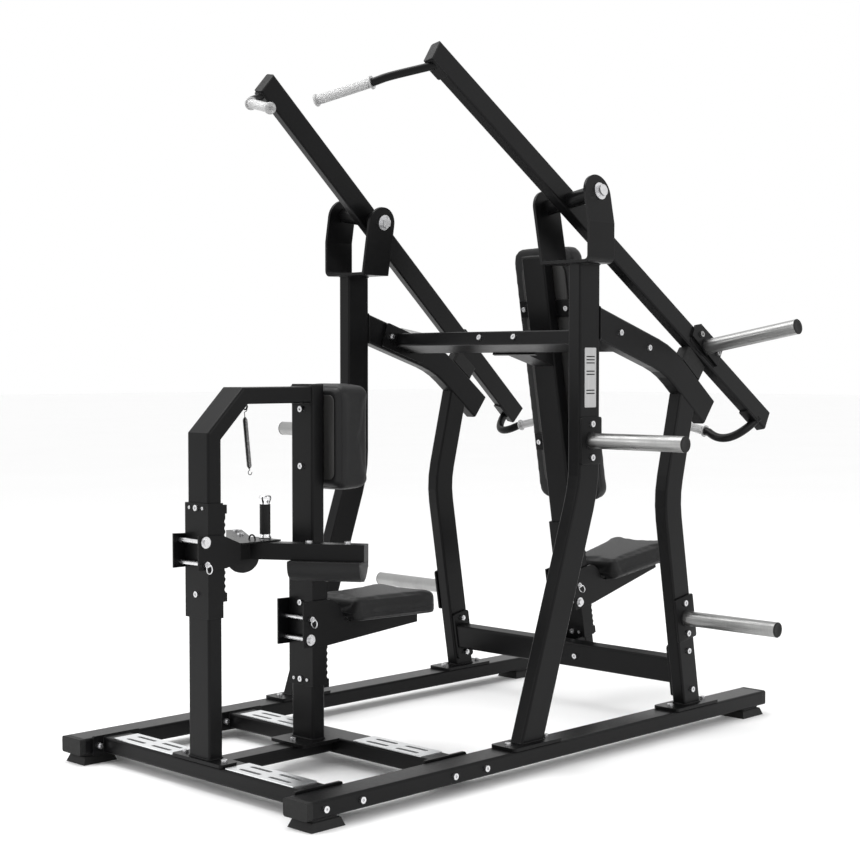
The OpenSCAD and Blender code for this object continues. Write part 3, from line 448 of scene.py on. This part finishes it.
for side_name, side in SIDES.items():
    arm = side_name + "_lever_arm"
    root, bend, start, end = [across(p, side) for p in PULL_POINTS]
    route = soften([root, bend, start, start.lerp(end, 0.062)], 0.045)
    tube = make("pull_handle_tube_" + side_name, [sweep(route, PULL_ROD_RADIUS, 32)],
                PAINT, arm)
    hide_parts("pull_handle_" + side_name)
    sleeve = grip("pull_grip_sleeve_" + side_name, start.lerp(end, 0.061), end, arm)
    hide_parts("pull_grip_" + side_name)

    root, low, collar, end = [across(p, side) for p in PRESS_POINTS]
    curve = [root.lerp(low, i / 28).lerp(low.lerp(collar, i / 28), i / 28) for i in range(29)]
    curve.append(collar.lerp(end, 0.084))
    tube = make("press_handle_tube_" + side_name, [sweep(curve, PRESS_ROD_RADIUS, 32)],
                PAINT, arm)
    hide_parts("press_handle_" + side_name)
    sleeve = grip("press_grip_sleeve_" + side_name, collar.lerp(end, 0.085), end, arm)
    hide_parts("press_grip_" + side_name)

    cap_x = HORN_FOOT_X + HORN_BAR
    cap = lathe(CAP_PROFILE, on_lever(cap_x, HORN_Y, HORN_Z), on_lever(cap_x + CAP_THICKNESS, HORN_Y, HORN_Z))
    horn_axis = LEVER.to_3x3() @ Vector(ALONG_X)
    lever_welds = [bead(ring_of(on_lever(HORN_FOOT_X + 0.6, HORN_Y, HORN_Z), horn_axis, HORN_WELD_RADIUS))]
    for y in SADDLE_YS:
        matrix = LEVER @ Matrix.Translation(Vector((0, y, -38.4)) / 1000)
        lever_welds.append(bead(rectangle(matrix, 0.036, 0.068, 0.006), 0.0022))
    horn_plate = LEVER @ Matrix.Translation(Vector((19.3, 771, 10)) / 1000)
    horn_plate = horn_plate @ Matrix.Rotation(math.pi / 2, 4, "Y")
    lever_welds.append(bead(rectangle(horn_plate, 0.066, 0.150, 0.006), 0.0022))
    if side < 0:
        cap, lever_welds = mirror(cap), [mirror(w) for w in lever_welds]
    piece = make("weight_horn_end_" + side_name, [cap], RUBBER, arm)
    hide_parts("weight_horn_cap_" + side_name)
    make("lever_welds_" + side_name, lever_welds, PAINT, arm, 60.0)


# ---- storage horns, their plates and caps ----

HORN_FACE = 560
HORN_PLATE = 8
# Y, Z and the lean of the plate in degrees
HORN_PLACES = [(119.5, 1008, 0.0), (627, 391, 9.5)]
BAR_PROFILE = [(0.0, 0.0), (0.025, 0.0), (0.025, 0.3575), (0.0243, 0.359), (0.0, 0.359)]
horns, horn_caps, plates, welds = [], [], [], []
for y, z, lean in HORN_PLACES:
    root, tip = mm(HORN_FACE + HORN_PLATE, y, z), mm(HORN_FACE + HORN_PLATE + HORN_BAR, y, z)
    out = Vector(ALONG_X)
    horns += both(lathe(BAR_PROFILE, root, tip, 64))
    horn_caps += both(lathe(CAP_PROFILE, tip, tip + out))
    matrix = frame_at(mm(HORN_FACE + 4.1, y, z), UP, ALONG_X)
    matrix = matrix @ Matrix.Rotation(math.radians(lean), 4, "Z")
    plates += both(slab((0.150, 0.100, 0.008), matrix, 0.0012, 0.008))
    welds += both(bead(ring_of(root + out * 0.0006, out, HORN_WELD_RADIUS)))

piece = make("storage_horn_bars", horns, HORN, "frame")
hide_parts("storage_horns")
make("storage_horn_plates", plates, PAINT, "frame")
piece = make("storage_horn_ends", horn_caps, RUBBER, "frame")
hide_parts("storage_horn_caps")


# ---- welds of the frame ----

TUBE_WIDE, TUBE_NARROW, TUBE_CORNER = 0.101, 0.051, 0.008
FRAME_X = 535


def tube_weld(point, x, z, w, h, radius=0.0032):
    """A bead round the end of a tube, where it meets a face whose outward direction is z."""
    return bead(rectangle(frame_at(point, x, z), w, h, TUBE_CORNER), radius)


# Feet of the uprights: Y of the foot, and the tube's depth where it meets its plate
for y, depth in ((-149, 0.106), (677, 0.092)):
    welds += both(tube_weld(mm(FRAME_X, y, 94), ALONG_X, UP, TUBE_NARROW, depth))
welds.append(tube_weld(mm(0, -970, 94), ALONG_X, UP, TUBE_WIDE, TUBE_NARROW))
welds.append(tube_weld(mm(0, -570, 89), ALONG_X, UP, TUBE_WIDE, TUBE_NARROW))
welds.append(tube_weld(mm(0, -595.5, 1155.5), ALONG_X, (0, -1, 0), TUBE_WIDE, TUBE_NARROW))
for y in (-955, -455):
    welds += both(tube_weld(mm(474.5, y, 58), ALONG_Y, ALONG_X, TUBE_WIDE, TUBE_NARROW, 0.0026))
welds += both(tube_weld(mm(FRAME_X, 120, 1564.6), ALONG_X, UP, TUBE_NARROW, TUBE_WIDE, 0.0028))
welds += both(tube_weld(mm(FRAME_X, 170.6, 1379.5), ALONG_X, ALONG_Y, TUBE_NARROW, 0.106, 0.0028))
make("frame_welds", welds, PAINT, "frame", 60.0)


# ---- counter spring ----

def spring_shapes():
    """The coil and the hook at each of its ends."""
    top, low = mm(0, -818, 1090), mm(0, -801, 936)
    axis = (low - top).normalized()
    out = Vector(ALONG_X)
    side = axis.cross(out).normalized()
    turns, per_turn, radius = 44, 14, 0.0062
    path = []
    for i in range(turns * per_turn + 1):
        t = i / (turns * per_turn)
        taper = min(1.0, 0.3 + 14.0 * min(t, 1.0 - t))
        a = math.tau * turns * t
        path.append(top.lerp(low, t) + radius * taper * (math.cos(a) * side + math.sin(a) * out))
    hook_top = [top - axis * d for d in (0.0, 0.008, 0.016)]
    loop_top = [mm(0, -817, 1114) + 0.0075 * Vector((0, math.cos(a), math.sin(a)))
                for a in [math.radians(-80 + 30 * k) for k in range(10)]]
    loop_low = [mm(0, -799, 924) + 0.0070 * Vector((0, math.cos(a), math.sin(a)))
                for a in [math.radians(100 + 30 * k) for k in range(10)]]
    hook_low = [low + axis * d for d in (0.0, 0.004)]
    hooks = [sweep(hook, 0.0012, 10) for hook in (hook_top + loop_top, hook_low + loop_low)]
    return [sweep(path, 0.0015, 8)] + hooks


piece = make("spring_coil", spring_shapes(), SPRING, "frame")
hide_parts("counter_spring")


# ---- hand grip on the thigh hold-down ----

GRIP_BASE = mm(0, -741.5, 722.3)
above = GRIP_BASE + Vector(UP)
ends = [lathe([(0.0, 0.0), (0.0185, 0.0), (0.019, 0.0008), (0.019, 0.003), (0.0165, 0.0065), (0.0150, 0.0105),
               (0.0152, 0.013), (0.0, 0.013)], GRIP_BASE, above),
        lathe([(0.0, 0.103), (0.0140, 0.103), (0.0142, 0.106), (0.0165, 0.112), (0.0188, 0.118),
               (0.0190, 0.123), (0.0184, 0.127), (0.0160, 0.1295), (0.0110, 0.1308), (0.0, 0.1312)],
              GRIP_BASE, above)]
ribs = [(0.0, 0.013), (0.0160, 0.013)]
for i in range(36):
    z = 0.0145 + i * 0.00244
    ribs += [(0.0158, z), (0.0165, z + 0.0006), (0.0165, z + 0.0016), (0.0158, z + 0.0022)]
ribs += [(0.0160, 0.103), (0.0, 0.103)]
chrome_ends = make("hand_grip_ends", ends, CHROME, "thigh_slider")
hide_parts("thigh_hand_grip")
make("hand_grip_sleeve", [lathe(ribs, GRIP_BASE, above)], RUBBER, "thigh_slider", 50.0)


# ---- pads ----

def part_of(node, keep=None):
    """A welded copy of a CAD node's mesh, or of the side of it where keep(point) is true."""
    mesh = bmesh.new()
    mesh.from_mesh(CAD[node].data)
    if keep:
        bmesh.ops.delete(mesh, geom=[v for v in mesh.verts if not keep(v.co)], context="VERTS")
    bmesh.ops.remove_doubles(mesh, verts=mesh.verts, dist=2e-5)
    data = bpy.data.meshes.new(node)
    mesh.to_mesh(data)
    mesh.free()
    return data


def baked(piece):
    """The piece's mesh with its modifiers applied and taken off."""
    made = bpy.data.meshes.new_from_object(piece.evaluated_get(bpy.context.evaluated_depsgraph_get()))
    piece.modifiers.clear()
    piece.data = made
    return piece


def swell(piece, base_point, base_normal, pressure, cap):
    """Cloth under pressure, held where the pad rests on its board. No point moves further than cap."""
    held = piece.vertex_groups.new(name="held")
    rest = [v.co.copy() for v in piece.data.vertices]
    held.add([i for i, p in enumerate(rest) if (p - base_point).dot(base_normal) < 0.006], 1.0, "REPLACE")
    cloth = piece.modifiers.new("cloth", "CLOTH")
    cloth.settings.use_pressure = True
    cloth.settings.uniform_pressure_force = pressure
    cloth.settings.tension_stiffness = 12
    cloth.settings.compression_stiffness = 12
    cloth.settings.bending_stiffness = 2.0
    cloth.settings.vertex_group_mass = "held"
    cloth.settings.effector_weights.gravity = 0.0
    cloth.collision_settings.use_self_collision = False
    scene = bpy.context.scene
    for number in range(1, 21):
        scene.frame_set(number)
    moved = piece.evaluated_get(bpy.context.evaluated_depsgraph_get()).data.vertices
    final = []
    for before, after in zip(rest, moved):
        shift = after.co - before
        final.append(before + shift * min(1.0, cap / max(shift.length, 1e-9)))
    piece.modifiers.clear()
    scene.frame_set(1)
    for v, p in zip(piece.data.vertices, final):
        v.co = p


def seam_loop(piece, point, normal, count):
    """Evenly spaced points round a pad, where a plane cuts it."""
    mesh = bmesh.new()
    mesh.from_mesh(piece.data)
    cut = bmesh.ops.bisect_plane(mesh, geom=mesh.verts[:] + mesh.edges[:] + mesh.faces[:],
                                 plane_co=point, plane_no=normal)["geom_cut"]
    found = [g.co.copy() for g in cut if isinstance(g, bmesh.types.BMVert)]
    mesh.free()
    centre = sum(found, Vector()) / len(found)
    x = normal.orthogonal().normalized()
    y = normal.cross(x)
    found.sort(key=lambda p: math.atan2((p - centre).dot(y), (p - centre).dot(x)))
    lengths = [(b - a).length for a, b in zip(found, found[1:] + found[:1])]
    total, walked, loop, i = sum(lengths), 0.0, [], 0
    for k in range(count):
        target = total * k / count
        while walked + lengths[i] < target:
            walked += lengths[i]
            i += 1
        loop.append(found[i].lerp(found[(i + 1) % len(found)], (target - walked) / max(lengths[i], 1e-9)))
    for _ in range(4):
        loop = [(loop[i - 1] + loop[i] * 2 + loop[(i + 1) % count]) / 4 for i in range(count)]
    return loop


def pad(name, node, body, base_point, base_normal, thick, voxel=0.006, inset=0.004, cap=0.006, keep=None,
        seam=0.35):
    """A cushion in a CAD node's space: remeshed, drawn in, swollen as cloth and given its seam.

    It rests on the plane at base_point, and seam is the seam's share of the thickness above that.
    """
    base_normal = Vector(base_normal).normalized()
    piece = bpy.data.objects.new(name, part_of(node, keep))
    bpy.context.scene.collection.objects.link(piece)
    remesh = piece.modifiers.new("remesh", "REMESH")
    remesh.mode = "VOXEL"
    remesh.voxel_size = voxel
    baked(piece)
    normals = [v.normal.copy() for v in piece.data.vertices]
    for v, n in zip(piece.data.vertices, normals):
        v.co -= n * inset * (1.0 if n.dot(base_normal) > -0.8 else 0.15)
    swell(piece, base_point, base_normal, 4.0, cap)
    smooth = piece.modifiers.new("smooth", "LAPLACIANSMOOTH")
    smooth.iterations = 3
    smooth.lambda_factor = 0.4
    divide = piece.modifiers.new("divide", "SUBSURF")
    divide.levels = divide.render_levels = 1
    baked(piece)
    piece.data.materials.clear()
    piece.data.materials.append(VINYL)
    piece.data.shade_smooth()
    plane = base_point + base_normal * thick * seam
    loop = seam_loop(piece, plane, base_normal, 260)
    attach(piece, body)
    make(name + "_seam", [sweep(loop, 0.0012, 8, True)], VINYL, body)
    return piece


PRESS_LEAN = math.radians(10.0)
back_out = Vector((0, math.cos(PRESS_LEAN), math.sin(PRESS_LEAN)))
press_up = Vector((0, -math.sin(PRESS_LEAN), math.cos(PRESS_LEAN)))


def on_press_post(x, y, z):
    """A point given in the press post's own frame."""
    return mm(0, 764.5, 150) + Vector((x, 0, 0)) / 1000 + back_out * (y / 1000) + press_up * (z / 1000)


SEAT_THICK = 0.071
SEAT_DROP = 21.5

piece = pad("chest_cushion", "chest_pad", "frame", mm(0, -539.5, 1023), ALONG_Y, 0.138,
            inset=0.002, cap=0.004, seam=0.12)
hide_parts("chest_pad")
piece = pad("back_cushion", "back_pad", "frame", on_press_post(0, 33.3, 1092), back_out, 0.060,
            voxel=0.008, inset=0.0)
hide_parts("back_pad")
piece = pad("seat_cushion", "seat_pad", "seat_slider", mm(0, -300, 468 - SEAT_DROP), UP, SEAT_THICK)
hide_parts("seat_pad")
piece = pad("press_seat_cushion", "press_seat_pad", "press_seat_slider",
            on_press_post(0, 270, 316 - SEAT_DROP), press_up, SEAT_THICK)
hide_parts("press_seat_pad")
for side_name, side in SIDES.items():
    piece = pad("thigh_cushion_" + side_name, "thigh_pads", "thigh_slider", mm(0, -700, 666.7),
                (0, 0, -1), 0.065, voxel=0.0045, inset=0.003, cap=0.004,
                keep=lambda p, s=side: p.x * s > 0, seam=0.08)
    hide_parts("thigh_pads")


# ---- boards behind the chest pad and the back pad ----

chest_place = frame_at(mm(0, -542.3, 1023.5), ALONG_X, ALONG_Y)
back_place = frame_at(on_press_post(0, 29.3, 1069), ALONG_X, back_out)
boards = [slab((0.180, 0.260, 0.0046), chest_place, 0.0010, 0.020),
          slab((0.200, 0.820, 0.0075), back_place, 0.0015, 0.045)]
piece = make("pad_back_boards", boards, BOARD, "frame")
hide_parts("pad_boards")


# ---- plate with plain rules in place of its print ----

PLATE_Z = 1207
plate_marks = [slab((0.040, 0.0035, 0.0006), frame_at(mm(561.8, 120, PLATE_Z + z), ALONG_Y, ALONG_X), 0.0002)
               for z in (66, 56, 46, 20, 10, -40, -50)]
make("plate_rules", plate_marks, PAINT, "frame")


# ---- stage, light and camera ----

def area_light(name, place, aim, size, power):
    data = bpy.data.lights.new(name, "AREA")
    data.shape = "DISK"
    data.size = size
    data.energy = power
    light = bpy.data.objects.new(name, data)
    light.location = place
    light.rotation_euler = (Vector(aim) - Vector(place)).to_track_quat("-Z", "Y").to_euler()
    bpy.context.scene.collection.objects.link(light)


floor_look = Nodes("pale_floor")
floor_color = floor_look.tint(floor_look.noise(0.7), (0.955, 0.955, 0.955), (0.985, 0.985, 0.985))
floor_look.finish(floor_color, 0.9, floor_look.bump(floor_look.noise(4.0), 0.0001))
FLOOR_HALF = 60
floor_corners = [Vector((x * FLOOR_HALF, y * FLOOR_HALF, 0)) for x, y in ((-1, -1), (1, -1), (1, 1), (-1, 1))]
floor = make("floor", [(floor_corners, [(0, 1, 2, 3)])], floor_look.material, None)

world = bpy.data.worlds.new("studio")
world.use_nodes = True
world.node_tree.nodes["Background"].inputs["Color"].default_value = (1, 1, 1, 1)
world.node_tree.nodes["Background"].inputs["Strength"].default_value = 1.0
bpy.context.scene.world = world
bpy.context.scene.view_settings.view_transform = "Standard"

area_light("overhead", (-1.2, -1.0, 5.2), (0, 0.1, 0.8), 4.0, 150)
area_light("side", (5.0, 0.6, 2.6), (0, 0.1, 0.9), 2.6, 45)
area_light("front", (-2.2, -5.0, 2.4), (0, 0, 0.9), 2.4, 45)

camera_data = bpy.data.cameras.new("camera")
camera_data.sensor_width = 36.0
camera_data.lens = 69.39
camera = bpy.data.objects.new("camera", camera_data)
camera.location = (3.8742, -3.9770, 1.2426)
camera.rotation_mode = "QUATERNION"
camera.rotation_quaternion = Vector((-0.702516, 0.710629, -0.038435)).to_track_quat("-Z", "Y")
bpy.context.scene.collection.objects.link(camera)
bpy.context.scene.camera = camera
